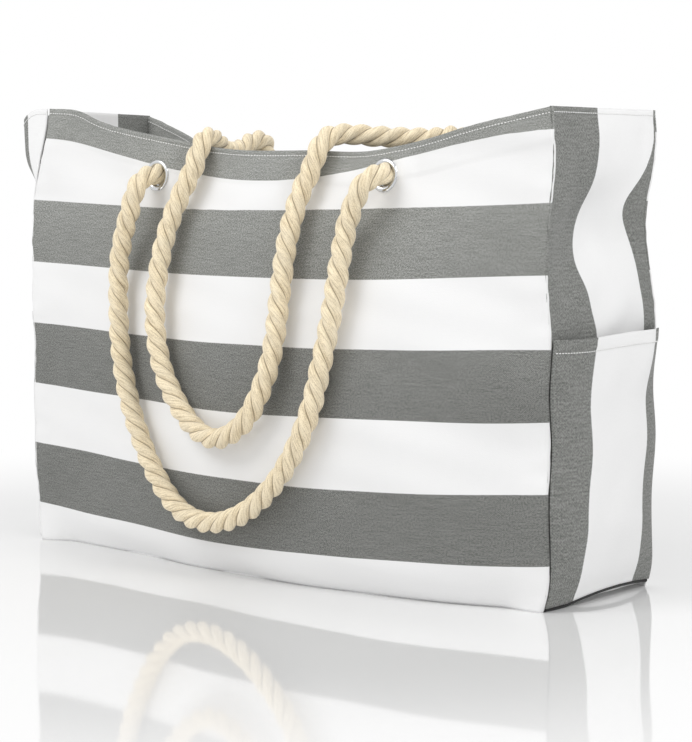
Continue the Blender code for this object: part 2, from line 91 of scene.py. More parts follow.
def waves(u, v, size, seed, count=7):
    # soft unevenness between -1 and 1, from a few crossing ripples
    dice = np.random.default_rng(seed)
    total = np.zeros(np.broadcast(u, v).shape)
    for _ in range(count):
        turn, phase, stretch = dice.uniform(0, 2 * pi), dice.uniform(0, 2 * pi), dice.uniform(0.6, 1.7)
        total = total + np.sin((u * np.cos(turn) + v * np.sin(turn)) * 2 * pi / (size * stretch) + phase)
    return total / count * 1.6


def bowAcross(x):
    # how much of the belly there is across the width
    f = bagForm
    left = np.cos(pi / 2 * np.clip((f["bellyX"] - x) / (f["bellyX"] + f["width"] / 2), 0, 1)) ** 2
    right = 1 - np.clip((x - f["bellyX"]) / (f["width"] / 2 - f["bellyX"]), 0, 1) ** 2.4
    return np.where(x < f["bellyX"], left, right)


def bowUpwards(z):
    # how much of the belly there is at a height
    f = bagForm
    low = 1 - 0.2 * ((f["bellyZ"] - z) / f["bellyZ"]) ** 2
    t = np.clip((z - f["bellyZ"]) / (f["bellyTop"] - f["bellyZ"]), 0, 1)
    return np.where(z < f["bellyZ"], low, np.maximum(np.cos(pi / 2 * t), 0) ** 1.2)


def frontDepth(x, z):
    f = bagForm
    drawn = f["frontPinch"] * (1 - np.abs(2 * x / f["width"]) ** 3) ** 2 * smooth((z - 0.27) / 0.09)
    return -f["depth"] / 2 - f["frontBelly"] * bowAcross(x) * bowUpwards(z) + drawn


def backDepth(x, z):
    f = bagForm
    share = np.abs(2 * x / f["width"])
    drawn = f["backPinch"] * (1 - share**3) ** 2 * smooth((z - 0.16) / 0.18)
    return f["depth"] / 2 + f["backBelly"] * (1 - share**2.4) * bowUpwards(z) - drawn


eyelet = {"x": 0.124, "z": 0.328, "bore": 0.0090, "flange": 0.0133, "crown": 0.0017, "slopeKept": 0.5,
          "flat": 0.0165, "blendTo": 0.034, "steps": 64, "slopeStep": 0.008, "cutWider": 0.0015}


def platePlane(depth, side):
    # where an eyelet's plate lies, and how it slopes
    x, z, step = side * eyelet["x"], eyelet["z"], eyelet["slopeStep"]
    slopeX = float(depth(x + step, z) - depth(x - step, z)) / (2 * step) * eyelet["slopeKept"]
    slopeZ = float(depth(x, z + step) - depth(x, z - step)) / (2 * step) * eyelet["slopeKept"]
    return float(depth(x, z)), slopeX, slopeZ


def aroundPlates(depth, x, z, y):
    # the cloth lies flat where an eyelet clamps it, and eases back to its own shape around that
    for side in (-1, 1):
        flat, slopeX, slopeZ = platePlane(depth, side)
        dx, dz = x - side * eyelet["x"], z - eyelet["z"]
        away = np.hypot(dx, dz)
        keep = smooth((away - eyelet["flat"]) / (eyelet["blendTo"] - eyelet["flat"]))
        y = y * keep + (flat + slopeX * dx + slopeZ * dz) * (1 - keep)
    return y


def plateFrame(depth, side, outward):
    y, slopeX, slopeZ = platePlane(depth, side)
    normal = Vector((slopeX, -1, slopeZ)).normalized() * outward
    turn = normal.to_track_quat("Z", "Y").to_matrix().to_4x4()
    return Matrix.Translation((side * eyelet["x"], y, eyelet["z"])) @ turn


# camera and light
cameraPlace = {"from": (1.2175, -1.4525, 0.3275), "towards": (0.024, 0.0, 0.164), "lens": 108.8}


def makeCamera():
    data = bpy.data.cameras.new("camera")
    data.lens = cameraPlace["lens"]
    data.sensor_width = 36
    camera = bpy.data.objects.new("camera", data)
    bpy.context.scene.collection.objects.link(camera)
    camera.location = cameraPlace["from"]
    aim = Vector(cameraPlace["towards"]) - Vector(cameraPlace["from"])
    camera.rotation_euler = aim.to_track_quat("-Z", "Y").to_euler()
    bpy.context.scene.camera = camera


lighting = {"world": 0.76, "key": 13.2, "keyFrom": (-0.6, -1.2, 1.5), "keySize": 0.9,
            "fill": 4.8, "fillFrom": (0.98, -0.2, 1.05), "fillSize": 0.5}


def addLamp(name, power, place, size, aim=(0, 0, 0.15)):
    data = bpy.data.lights.new(name, "AREA")
    data.energy = power
    data.size = size
    lamp = bpy.data.objects.new(name, data)
    bpy.context.scene.collection.objects.link(lamp)
    lamp.location = place
    lamp.rotation_euler = (Vector(aim) - Vector(place)).to_track_quat("-Z", "Y").to_euler()


def makeLight():
    world = bpy.data.worlds.new("studio")
    world.use_nodes = True
    bpy.context.scene.world = world
    tree = world.node_tree
    background = tree.nodes["Background"]
    background.inputs["Color"].default_value = (1, 1, 1, 1)
    path = tree.nodes.new("ShaderNodeLightPath")
    seen = tree.nodes.new("ShaderNodeMath")
    seen.operation = "MAXIMUM"
    tree.links.new(path.outputs["Is Camera Ray"], seen.inputs[0])
    tree.links.new(path.outputs["Is Glossy Ray"], seen.inputs[1])
    level = tree.nodes.new("ShaderNodeMapRange")
    level.inputs["To Min"].default_value = lighting["world"]
    level.inputs["To Max"].default_value = 1.0
    tree.links.new(seen.outputs[0], level.inputs["Value"])
    tree.links.new(level.outputs[0], background.inputs["Strength"])
    addLamp("key", lighting["key"], lighting["keyFrom"], lighting["keySize"])
    addLamp("fill", lighting["fill"], lighting["fillFrom"], lighting["fillSize"])
    bpy.context.scene.view_settings.view_transform = "Standard"


def newMaterial(name):
    made = bpy.data.materials.new(name)
    made.use_nodes = True
    return made, made.node_tree, made.node_tree.nodes["Principled BSDF"]


def node(tree, kind, inputs=None, **settings):
    made = tree.nodes.new("ShaderNode" + kind)
    for key, value in settings.items():
        setattr(made, key, value)
    for key, value in (inputs or {}).items():
        if isinstance(value, bpy.types.NodeSocket):
            tree.links.new(value, made.inputs[key])
        else:
            made.inputs[key].default_value = value
    return made


def maths(tree, operation, first, second=0.0, third=None):
    inputs = {0: first, 1: second}
    if third is not None:
        inputs[2] = third
    return node(tree, "Math", inputs, operation=operation).outputs[0]


def mixed(tree, share, first, second, blend="MIX"):
    made = node(tree, "Mix", data_type="RGBA", blend_type=blend)
    for socket, value in ((made.inputs[0], share), (made.inputs[6], first), (made.inputs[7], second)):
        if isinstance(value, bpy.types.NodeSocket):
            tree.links.new(value, socket)
        else:
            socket.default_value = value
    return made.outputs[2]


clothLook = {
    "white": (0.81, 0.81, 0.81, 1), "grey": (0.300, 0.302, 0.290, 1), "greyDark": (0.110, 0.115, 0.106, 1),
    "stripe": 0.0538, "firstEdge": 0.0368, "mouth": 0.386, "sideFirstEdge": -1.0,
    "roughness": 0.93, "sheen": 0.12, "threads": 0.0016,
    # the grey is painted brighter higher up and darker low down: painted light and shade by height
    "paintedLightFrom": 0.14, "paintedLightTo": 0.36, "paintedLevelLow": 0.90, "paintedLevelHigh": 1.42,
}


def clothMaterial(name, striped=True, upright=False, grain=1.0, slub=0.10, offset=None):
    # woven cloth; the "weave" map holds metres along the cloth, the "stripes" map where its stripes run
    made, tree, shader = newMaterial(name)
    look = clothLook
    weave = node(tree, "UVMap", uv_map="weave").outputs["UV"]
    stripes = node(tree, "SeparateXYZ", {0: node(tree, "UVMap", uv_map="stripes").outputs["UV"]})
    fine = node(tree, "TexNoise", {"Vector": weave, "Scale": 900.0 * grain, "Detail": 3.0, "Roughness": 0.7})
    across = node(tree, "Mapping", {"Vector": weave, "Scale": (800.0 * grain, 1150.0 * grain, 1.0)})
    weft = node(tree, "TexNoise", {"Vector": across.outputs[0], "Scale": 1.0, "Detail": 2.0})
    along = node(tree, "Mapping", {"Vector": weave, "Scale": (1150.0 * grain, 700.0 * grain, 1.0)})
    warp = node(tree, "TexNoise", {"Vector": along.outputs[0], "Scale": 1.0, "Detail": 2.0})
    slubMap = node(tree, "Mapping", {"Vector": weave, "Scale": (55.0, 620.0, 1.0)})
    slubs = node(tree, "TexNoise", {"Vector": slubMap.outputs[0], "Scale": 1.0, "Detail": 1.0})
    cloudy = node(tree, "TexNoise", {"Vector": weave, "Scale": 14.0, "Detail": 3.0})
    over = node(tree, "SeparateXYZ", {0: weave})
    jitter = maths(tree, "MULTIPLY", fine.outputs[0], 2.0)
    pace = 2 * pi / look["threads"] * grain
    phases = [maths(tree, "MULTIPLY_ADD", over.outputs[axis], pace, jitter) for axis in "XY"]
    turns = [maths(tree, "SINE", phase) for phase in phases]
    crossing = maths(tree, "MULTIPLY", turns[0], turns[1])
    streaks = maths(tree, "ADD", *[maths(tree, "MULTIPLY", yarn.outputs[0], 0.5) for yarn in (weft, warp)])
    specks = maths(tree, "MULTIPLY", fine.outputs[0], 0.65)
    threads = maths(tree, "ADD", maths(tree, "MULTIPLY", streaks, 0.35), specks)
    threads = maths(tree, "ADD", threads, maths(tree, "MULTIPLY", crossing, 0.06))
    thick = maths(tree, "MULTIPLY", maths(tree, "SUBTRACT", slubs.outputs[0], 0.5), slub)
    threads = maths(tree, "ADD", threads, thick)
    soft = 0.08 if grain >= 1 else 0.10
    sharp = node(tree, "MapRange", {"Value": threads, "From Min": 0.5 - soft, "From Max": 0.5 + soft})
    grey = mixed(tree, sharp.outputs[0], look["greyDark"], look["grey"])
    clouds = node(tree, "MapRange", {"Value": cloudy.outputs[0], "From Min": 0.3, "From Max": 0.7,
                                     "To Min": 0.0, "To Max": 0.16})
    grey = mixed(tree, clouds.outputs[0], grey, look["greyDark"])
    # painted light and shade: the grey stripes are made brighter towards the mouth and darker towards the
    # base, by height on the cloth
    if striped and not upright:
        paintedLightByHeight = node(tree, "MapRange", {"Value": stripes.outputs["Y"],
                                          "From Min": look["paintedLightFrom"], "From Max": look["paintedLightTo"],
                                          "To Min": look["paintedLevelLow"], "To Max": look["paintedLevelHigh"]},
                       interpolation_type="SMOOTHSTEP")
        level = node(tree, "CombineXYZ", {axis: paintedLightByHeight.outputs[0] for axis in range(3)})
        grey = mixed(tree, 1.0, grey, level.outputs[0], "MULTIPLY")
    whiteDim = tuple(c * 0.985 for c in look["white"][:3]) + (1,)
    white = mixed(tree, sharp.outputs[0], whiteDim, look["white"])
    if striped:
        runs = stripes.outputs["X" if upright else "Y"]
        first = offset if offset is not None else look["firstEdge"]
        period = 2.0 if upright else 2 * look["stripe"]
        place = maths(tree, "FRACT", maths(tree, "DIVIDE", maths(tree, "SUBTRACT", runs, first), period))
        middle = maths(tree, "ABSOLUTE", maths(tree, "SUBTRACT", place, 0.25))
        wander = maths(tree, "MULTIPLY", maths(tree, "SUBTRACT", fine.outputs[0], 0.5), 0.006)
        edge = node(tree, "MapRange", {"Value": maths(tree, "ADD", middle, wander),
                                       "From Min": 0.247, "From Max": 0.253, "To Min": 1.0, "To Max": 0.0})
        colour = mixed(tree, edge.outputs[0], white, grey)
    else:
        colour = white
    tree.links.new(colour, shader.inputs["Base Color"])
    bump = node(tree, "Bump", {"Height": threads, "Strength": 0.35, "Distance": 0.0004})
    tree.links.new(bump.outputs[0], shader.inputs["Normal"])
    shader.inputs["Roughness"].default_value = look["roughness"]
    shader.inputs["Sheen Weight"].default_value = look["sheen"]
    shader.inputs["Sheen Roughness"].default_value = 0.5
    shader.inputs["Specular IOR Level"].default_value = 0.2
    return made


def plainMaterial(name, colour, roughness, metallic=0.0, grain=900.0, bumpDistance=0.0001, vary=0.12):
    # a plain finish with a little unevenness in its colour and surface
    made, tree, shader = newMaterial(name)
    place = node(tree, "TexCoord").outputs["Object"]
    noise = node(tree, "TexNoise", {"Vector": place, "Scale": grain, "Detail": 3.0})
    darker = tuple(c * (1 - vary) for c in colour[:3]) + (1,)
    tree.links.new(mixed(tree, noise.outputs[0], darker, colour), shader.inputs["Base Color"])
    rough = node(tree, "MapRange", {"Value": noise.outputs[0],
                                    "To Min": roughness * 0.8, "To Max": roughness * 1.2})
    tree.links.new(rough.outputs[0], shader.inputs["Roughness"])
    bump = node(tree, "Bump", {"Height": noise.outputs[0], "Strength": 0.3, "Distance": bumpDistance})
    tree.links.new(bump.outputs[0], shader.inputs["Normal"])
    shader.inputs["Metallic"].default_value = metallic
    return made


def makeMesh(name, points, faces, material, maps=None, smoothShade=True):
    mesh = bpy.data.meshes.new(name)
    mesh.from_pydata(np.asarray(points).tolist(), [], faces if isinstance(faces, list) else faces.tolist())
    for mapName, values in (maps or {}).items():
        layer = mesh.uv_layers.new(name=mapName)
        corner = np.empty(len(mesh.loops), int)
        mesh.loops.foreach_get("vertex_index", corner)
        layer.data.foreach_set("uv", np.asarray(values, np.float32)[corner].ravel())
    mesh.materials.append(material)
    if smoothShade:
        mesh.shade_smooth()
    made = bpy.data.objects.new(name, mesh)
    bpy.context.scene.collection.objects.link(made)
    return made


def gridFaces(rows, columns, skip=None):
    r, c = np.meshgrid(np.arange(rows - 1), np.arange(columns - 1), indexing="ij")
    a = (r * columns + c).ravel()
    faces = np.stack([a, a + 1, a + 1 + columns, a + columns], axis=1)
    return faces if skip is None else faces[~skip[:-1, :-1].ravel()]


def tubeFaces(rings, around, closed=False, base=0):
    # faces between rings of points: either the last ring meets the first, or both ends are capped
    faces = []
    for i in range(rings if closed else rings - 1):
        low, high = base + i * around, base + (i + 1) % rings * around
        faces += [(low + k, low + (k + 1) % around, high + (k + 1) % around, high + k) for k in range(around)]
    if not closed:
        faces.append(tuple(base + k for k in reversed(range(around))))
        faces.append(tuple(base + (rings - 1) * around + k for k in range(around)))
    return faces


def applyModifiers(made):
    bpy.context.view_layer.update()
    done = bpy.data.meshes.new_from_object(made.evaluated_get(bpy.context.evaluated_depsgraph_get()))
    made.modifiers.clear()
    made.data = done


def settle(points):
    # the sewn corners wander a little, and every layer there with them
    x, y, z = points[..., 0], points[..., 1], points[..., 2]
    near = smooth((np.abs(x) - sag["sideFrom"]) / 0.09)
    rounded = sag["foot"] * np.sign(x) * np.clip(1 - z / sag["footHeight"], 0, 1) ** 2
    droop = 0.35 * np.maximum(-x - 0.284, 0) * smooth((z - 0.30) / 0.08)
    return points + np.stack([near * (sag["wander"] * waves(z, y * 0.3 + np.sign(x), 0.10, 91) - rounded),
                              near * sag["wander"] * waves(z, x * 0.3, 0.085, 92), -droop], axis=-1)


def clothSheet(name, points, weave, stripes, material, thickness, flip=False, skip=None):
    # a grid of points (rows, columns, 3), given the cloth's thickness on its inner side
    points = settle(points)
    rows, columns = points.shape[:2]
    faces = gridFaces(rows, columns, skip)
    if flip:
        faces = faces[:, ::-1]
    made = makeMesh(name, points.reshape(-1, 3), faces, material,
                    {"weave": weave.reshape(-1, 2), "stripes": stripes.reshape(-1, 2)})
    solid = made.modifiers.new("thickness", "SOLIDIFY")
    solid.thickness = thickness
    solid.offset = -1
    applyModifiers(made)
    made.data.shade_smooth()
    return made


# the front's stripes: evenly spaced, a little higher at both sides, the last one drawn down with the mouth
stripeRun = {"first": 0.0275, "pitch": 0.0545, "count": 7, "rise": 0.007, "tilt": 0.0045, "dip": 0.0315,
             "wander": 0.0012, "wanderLength": 0.20}


def stripeHeight(x, z, top):
    # how far up the cloth a point lies, from the heights of the stripes' edges beneath and above it
    run = stripeRun
    out = np.clip(2 * x / bagForm["width"], -1, 1)
    rows = [np.zeros_like(x)]
    for k in range(run["count"]):
        even = run["first"] + run["pitch"] * k + run["rise"] * out**2 + run["tilt"] * x
        rows.append(even + run["wander"] * waves(x, 0 * x, run["wanderLength"], 70 + k))
    rows[-1] = rows[-1] - run["dip"] * np.cos(pi / 2 * out) ** 2
    rows.append(top)
    marks = [0.0] + [clothLook["firstEdge"] + clothLook["stripe"] * k for k in range(run["count"])]
    marks.append(clothLook["mouth"])
    height = np.zeros_like(x)
    for low, high, a, b in zip(rows, rows[1:], marks, marks[1:]):
        share = np.clip((z - low) / np.maximum(high - low, 1e-5), 0, 1)
        height = np.where(z >= low, a + (b - a) * share, height)
    return height


def seamPull(distance, along, seed):
    # a seam draws the cloth in along its edge and leaves small puckers beside it
    turned = seam["round"] * (1 - np.sqrt(1 - np.clip(1 - distance / seam["round"], 0, 1) ** 2))
    draw = seam["draw"] * (distance / seam["drawnAt"]) * np.exp(1 - distance / seam["drawnAt"])
    pucker = canvas["pucker"] * np.exp(-distance / 0.014) * (1 + waves(along, distance * 0.2, 0.016, seed))
    uneven = 0.8 + 0.2 * waves(along, distance * 0, 0.012, seed + 2)
    return turned * uneven + (draw + pucker) * smooth(distance / 0.003)


def backSag(z):
    # how far the back corners lean in, below the mouth
    return sag["back"] * np.exp(-(((z - sag["z"]) / sag["height"]) ** 2))


def cornerShift(x, z):
    # how far the front's upper left corner stands in from the side
    return sag["corner"] * smooth((z - sag["cornerZ"]) / sag["cornerHeight"]) * smooth((-x - 0.17) / 0.11)


def faceSurface(which, x, z, top):
    # how far forward or back the cloth lies at a place, with its creases and its drawn seams
    depth, sign, seed = (frontDepth, 1, 3) if which == "front" else (backDepth, -1, 4)
    y = depth(x, z)
    toSide = bagForm["width"] / 2 - np.abs(x)
    inner = smooth(toSide / 0.03) * smooth((top - z) / 0.02 + 0.3)
    for face, atX, atZ, halfX, halfZ in calm:
        if face == which:
            away = np.maximum(np.abs(x - atX) - halfX, np.abs(z - atZ) - halfZ)
            inner = inner * smooth(away / 0.03)
    crease = canvas["crease"] * (1 + waves(x, z * 1.6, 0.09, seed)) * inner
    drag = canvas["drag"] * smooth((z - 0.22) / 0.1) * (1 + waves(x, z * 0.3, 0.07, seed + 9))
    drag = drag * smooth((top - z) / 0.03) * inner
    y = aroundPlates(depth, x, z, y + sign * (crease + drag + seamPull(toSide, z, seed + 1)))
    if which == "back":
        y = y - backSag(z) * smooth((np.abs(x) - sag["sideFrom"]) / 0.08)
    return y


def faceGrid(which, low, margin, cell, high=0.0):
    # rows of places from a height up to the mouth's edge, across the width
    half = bagForm["width"] / 2 - margin
    x = np.linspace(-half, half, int(2 * half / cell) + 1)
    top = alongCurve(bagForm[which + "Edge"], x)
    start = top - canvas["facingHeight"] if low is None else np.full_like(top, low)
    t = np.linspace(0, 1, max(8, int((bagForm["height"] - start.min() - high) / cell) + 1))[:, None]
    z = start + (top - high - start) * t
    return np.broadcast_to(x, z.shape), z, np.broadcast_to(top, z.shape)


def facePoints(which, inset=0.0, low=0.0, margin=0.0, cell=canvas["cell"], high=0.0):
    # the front or the back of the bag, as rows of points from its base to the mouth's edge
    sign, seed = (1, 3) if which == "front" else (-1, 4)
    x, z, top = faceGrid(which, low, margin, cell, high)
    y = faceSurface(which, x, z, top)
    down = top - z
    hem = 0.0006 * np.exp(-(((down - 0.0042) / 0.0014) ** 2)) - 0.0007 * smooth((0.027 - down) / 0.002)
    ripple = canvas["ripple"] * (1 + waves(x, z * 0.1, 0.022, seed + 5)) * smooth((0.02 - down) / 0.02)
    under = sag["under"] * np.clip(1 - z / sag["footHeight"], 0, 1) ** 2
    under = under * smooth((bagForm["width"] / 2 - np.abs(x)) / 0.04)
    y = y + sign * (inset + ripple + under + (hem if inset == 0 else 0.0))
    up = stripeHeight(x, z, top)
    weave = np.stack([x, up * 0.35 + z * 0.65], axis=-1)
    across = x + (cornerShift(x, z) if which == "front" else 0.0)
    return np.stack([across, y, z], axis=-1), weave, np.stack([x, up], axis=-1)


# where a side's white stripe begins and ends, front to back; the fold below the mouth draws the right one in
sideStripe = {"right": (-0.010, 0.056), "left": (-0.110, -0.063), "pocket": (-0.038, 0.044),
              "foldZ": 0.262, "foldHeight": 0.030, "creaseZ": 0.303, "creaseHeight": 0.018, "drawnIn": 0.010,
              "spread": 0.014, "spreadZ": 0.31, "pocketLean": (0.012, 0.008), "arch": 0.006}


def baseArch(y):
    # a side's lower edge stands a little off the floor in its middle
    return sideStripe["arch"] * np.clip(1 - ((y - 0.025) / 0.07) ** 2, 0, 1)


def sideMap(y, z, prefix=""):
    # the stripes' own map: 0 where the white stripe begins, 1 where it ends
    run = sideStripe
    first, last = run[prefix or "right"]
    if not prefix:
        first = first - run["drawnIn"] * np.exp(-(((z - run["foldZ"]) / run["foldHeight"]) ** 2))
        last = last - run["drawnIn"] * np.exp(-(((z - run["creaseZ"]) / run["creaseHeight"]) ** 2))
        last = last + run["spread"] * smooth((z - run["spreadZ"]) / 0.05)
    if prefix == "pocket":
        first = first + run["pocketLean"][0] * z / sidePocket["top"]
        last = last + run["pocketLean"][1] * z / sidePocket["top"]
    share = (y - first) / (last - first)
    return np.stack([share if prefix == "left" else np.clip(share, -0.95, 1.95), z], axis=-1)


def sideSurface(side, y, z):
    # how far out from the middle a side's cloth lies, with its fold below the mouth
    f = bagForm
    half = f["depth"] / 2 - canvas["thickness"] - canvas["gap"]
    share = np.abs(2 * y / f["depth"])
    hollow = (1 - np.clip(share, 0, 1) ** 2) ** 2
    tuck = f["sideTuck"] * hollow * np.exp(-(((z - f["sideTuckZ"]) / f["sideTuckHeight"]) ** 2))
    toSeam = np.maximum(half - np.abs(y), 0)
    wrinkle = 0.0012 * (1 + waves(y, z, 0.05, 21 + side)) * smooth(toSeam / 0.02)
    flare = 0.0
    if side < 0:
        flare = f["leftFlare"] * np.exp(-(((y + 0.050) / 0.016) ** 2)) * smooth((z - 0.28) / 0.08)
        high = smooth((z - sag["cornerZ"]) / sag["cornerHeight"])
        flare = flare - sag["corner"] * high * smooth(1 - (y + half) / 0.012)
    return f["width"] / 2 - tuck - wrinkle - seamPull(toSeam, z, 30 + side) * 0.5 + flare


def sidePoints(side, inset=0.0, low=0.0, margin=0.0, cell=canvas["cell"], high=0.0):
    # a side of the bag, as rows of points from its base to the mouth's edge
    half = bagForm["depth"] / 2 - canvas["thickness"] - canvas["gap"] - margin
    y = np.linspace(-half, half, int(2 * half / cell) + 1)
    which = 0 if side < 0 else -1
    corner = np.interp(y, [-half, half], [bagForm["frontEdge"][which][1], bagForm["backEdge"][which][1]])
    start = corner - canvas["facingHeight"] if low is None else np.full_like(corner, low)
    if inset == 0:
        start = start + baseArch(y)
    t = np.linspace(0, 1, int((bagForm["height"] - start.min() - high) / cell) + 1)[:, None]
    z = start + (corner - high - start) * t
    y = np.broadcast_to(y, z.shape)
    x = side * (sideSurface(side, y, z) - inset)
    leaning = y - backSag(z) * smooth((y + 0.01) / 0.08)
    stripes = sideMap(y, z, "left" if side < 0 else "")
    return np.stack([x, leaning, z], axis=-1), np.stack([y, z], axis=-1), stripes


def eyeletHoles(points):
    # which cells of a sheet are cut away for the eyelets
    hole = np.zeros(points.shape[:2], bool)
    for side in (-1, 1):
        away = np.hypot(points[..., 0] - side * eyelet["x"], points[..., 2] - eyelet["z"])
        hole |= away < eyelet["bore"] + eyelet["cutWider"]
    return hole


def liningPlace():
    # a lining's inset, start, margin and cell, and how far it stops below the mouth
    return (canvas["layer"] + canvas["liningBehind"], canvas["liningMargin"], canvas["liningMargin"],
            canvas["liningCell"], canvas["facingHeight"] - canvas["liningOverlap"])


def makeFaces():
    striped = clothMaterial("striped canvas")
    lining = clothMaterial("lining", striped=False, grain=1.5)
    for which, flip in (("front", False), ("back", True)):
        for name, cadNode, place in (
                ("Canvas", which + "_panel", ()),
                ("Facing", "hem_facing_" + which, (canvas["layer"], None, canvas["facingMargin"]))):
            points, weave, stripes = facePoints(which, *place)
            made = clothSheet(which + name, points, weave, stripes, striped, canvas["thickness"], flip,
                              eyeletHoles(points))
            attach(made, "root")
            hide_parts(cadNode)
        made = clothSheet(which + "Lining", *facePoints(which, *liningPlace()), lining,
                          canvas["lining"], flip)
        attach(made, "root")
        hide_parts("lining_" + which)


def makeSides():
    side = clothMaterial("side canvas", upright=True, grain=0.7, slub=0.16, offset=clothLook["sideFirstEdge"])
    facing = clothMaterial("side facing", upright=True, offset=clothLook["sideFirstEdge"])
    lining = clothMaterial("side lining", striped=False, grain=1.5)
    for word, sign in (("left", -1), ("right", 1)):
        made = clothSheet(word + "Gusset", *sidePoints(sign), side, canvas["thickness"], sign < 0)
        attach(made, "root")
        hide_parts(word + "_gusset")
        made = clothSheet(word + "Facing", *sidePoints(sign, canvas["layer"], None, canvas["facingMargin"]),
                          facing, canvas["thickness"], sign < 0)
        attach(made, "root")
        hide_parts("hem_facing_" + word)
        made = clothSheet(word + "Lining", *sidePoints(sign, *liningPlace()), lining,
                          canvas["lining"], sign < 0)
        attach(made, "root")
        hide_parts("lining_" + word)


sidePocket = {"top": 0.207, "bottom": 0.003, "standOff": 0.010, "seam": 0.0015, "curl": 0.006,
              "curlY": 0.045, "hemStitch": 0.010, "fold": 0.0006, "wrinkle": 0.0010}


def pocketPoints(sign):
    # a side pocket, standing off the side and curling out at its mouth
    f = sidePocket
    half = bagForm["depth"] / 2 - canvas["thickness"] - canvas["gap"] - f["seam"]
    y = np.linspace(-half, half, int(2 * half / canvas["cell"]) + 1)
    t = np.linspace(0, 1, int(f["top"] / canvas["cell"]) + 1)[:, None]
    z = f["bottom"] + (f["top"] - f["bottom"] + 0.0015 * np.sin(y / half * 2.5)) * t
    z = z + baseArch(y) * np.clip(1 - z / 0.05, 0, 1)
    y = np.broadcast_to(y, z.shape)
    lift = f["standOff"] * (1 - np.abs(y / half) ** 4) * smooth(z / (0.3 * f["top"]))
    lift = lift + f["curl"] * np.exp(-(((y - f["curlY"]) / 0.018) ** 2)) * smooth((z - 0.15) / 0.05)
    lift = lift - f["wrinkle"] * (1 + waves(y, z, 0.045, 51 + sign)) * smooth((half - np.abs(y)) / 0.02)
    fold = f["fold"] * smooth((z - (f["top"] - f["hemStitch"])) / 0.001)
    x = sign * (bagForm["width"] / 2 + canvas["thickness"] + canvas["gap"] + np.maximum(lift, 0) + fold)
    stripes = sideMap(y, z, "left" if sign < 0 else "pocket")
    return np.stack([x, y, z], axis=-1), np.stack([y, z], axis=-1), stripes


def makePockets():
    for word, sign in (("left", -1), ("right", 1)):
        look = clothMaterial(word + " pocket canvas", upright=True, grain=0.7, slub=0.16,
                             offset=clothLook["sideFirstEdge"])
        made = clothSheet(word + "SidePocket", *pocketPoints(sign), look, canvas["thickness"], sign < 0)
        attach(made, "root")
        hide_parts(word + "_side_pocket")


# stitches: short rounded threads lying in the cloth
thread = {"length": 0.0019, "pitch": 0.0029, "radius": 0.00048, "colour": (0.82, 0.82, 0.81, 1),
          "sides": 5, "hem": 0.0042, "proud": 0.0001, "proudInside": 0.0002}


def stitchRow(name, line, normals, material):
    # one mesh of small spindle-shaped stitches along a line, each lying against the cloth
    line = settle(line)
    steps = np.linalg.norm(np.diff(line, axis=0), axis=1)
    run = np.concatenate([[0], np.cumsum(steps)])
    centres = np.arange(thread["pitch"], run[-1] - thread["pitch"], thread["pitch"])
    points, faces = [], []
    sides, rings = thread["sides"], [(-0.5, 0.25), (-0.35, 1.0), (0.35, 1.0), (0.5, 0.25)]
    for centre in centres:
        spot = np.array([np.interp(centre, run, line[:, k]) for k in range(3)])
        ahead = np.array([np.interp(centre + 0.001, run, line[:, k]) for k in range(3)]) - spot
        ahead /= np.linalg.norm(ahead)
        out = np.array([np.interp(centre, run, normals[:, k]) for k in range(3)])
        out -= ahead * (out @ ahead)
        out /= np.linalg.norm(out)
        beside = np.cross(ahead, out)
        base = len(points)
        for along, swell in rings:
            for k in range(sides):
                angle = 2 * pi * k / sides
                lift = out * thread["radius"] * (0.2 + swell * np.cos(angle) * 0.9)
                sideways = beside * thread["radius"] * swell * np.sin(angle)
                points.append(spot + ahead * along * thread["length"] + lift + sideways)
        faces += tubeFaces(len(rings), sides, base=base)
    made = makeMesh(name, points, faces, material)
    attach(made, "root")


def lineOn(points, below):
    # the line on a grid of points that runs a distance beneath its top edge
    z = points[..., 2]
    goal = z[-1] - below
    line, out = [], []
    across = np.gradient(points, axis=1)
    up = np.gradient(points, axis=0)
    normal = np.cross(across, up)
    for k in range(points.shape[1]):
        line.append([np.interp(goal[k], z[:, k], points[:, k, m]) for m in range(3)])
        row = int(np.argmin(np.abs(z[:, k] - goal[k])))
        out.append(normal[row, k])
    line, out = np.array(line), np.array(out)
    return line, out / np.linalg.norm(out, axis=1)[:, None]


def makeStitches():
    white = plainMaterial("stitching thread", thread["colour"], 0.7)
    proud, inside = thread["proud"], thread["proudInside"]
    for which, sign in (("front", 1), ("back", -1)):
        line, out = lineOn(facePoints(which)[0], thread["hem"])
        stitchRow(which + "HemStitches", line + out * sign * proud, out * sign, white)
        inner, out = lineOn(facePoints(which, canvas["layer"] + canvas["thickness"])[0], thread["hem"])
        stitchRow(which + "FacingStitches", inner - out * sign * inside, -out * sign, white)
    for word, sign in (("left", -1), ("right", 1)):
        line, out = lineOn(sidePoints(sign)[0], thread["hem"])
        stitchRow(word + "HemStitches", line + out * sign * proud, out * sign, white)
        line, out = lineOn(pocketPoints(sign)[0], sidePocket["hemStitch"])
        stitchRow(word + "PocketStitches", line + out * sign * proud, out * sign, white)


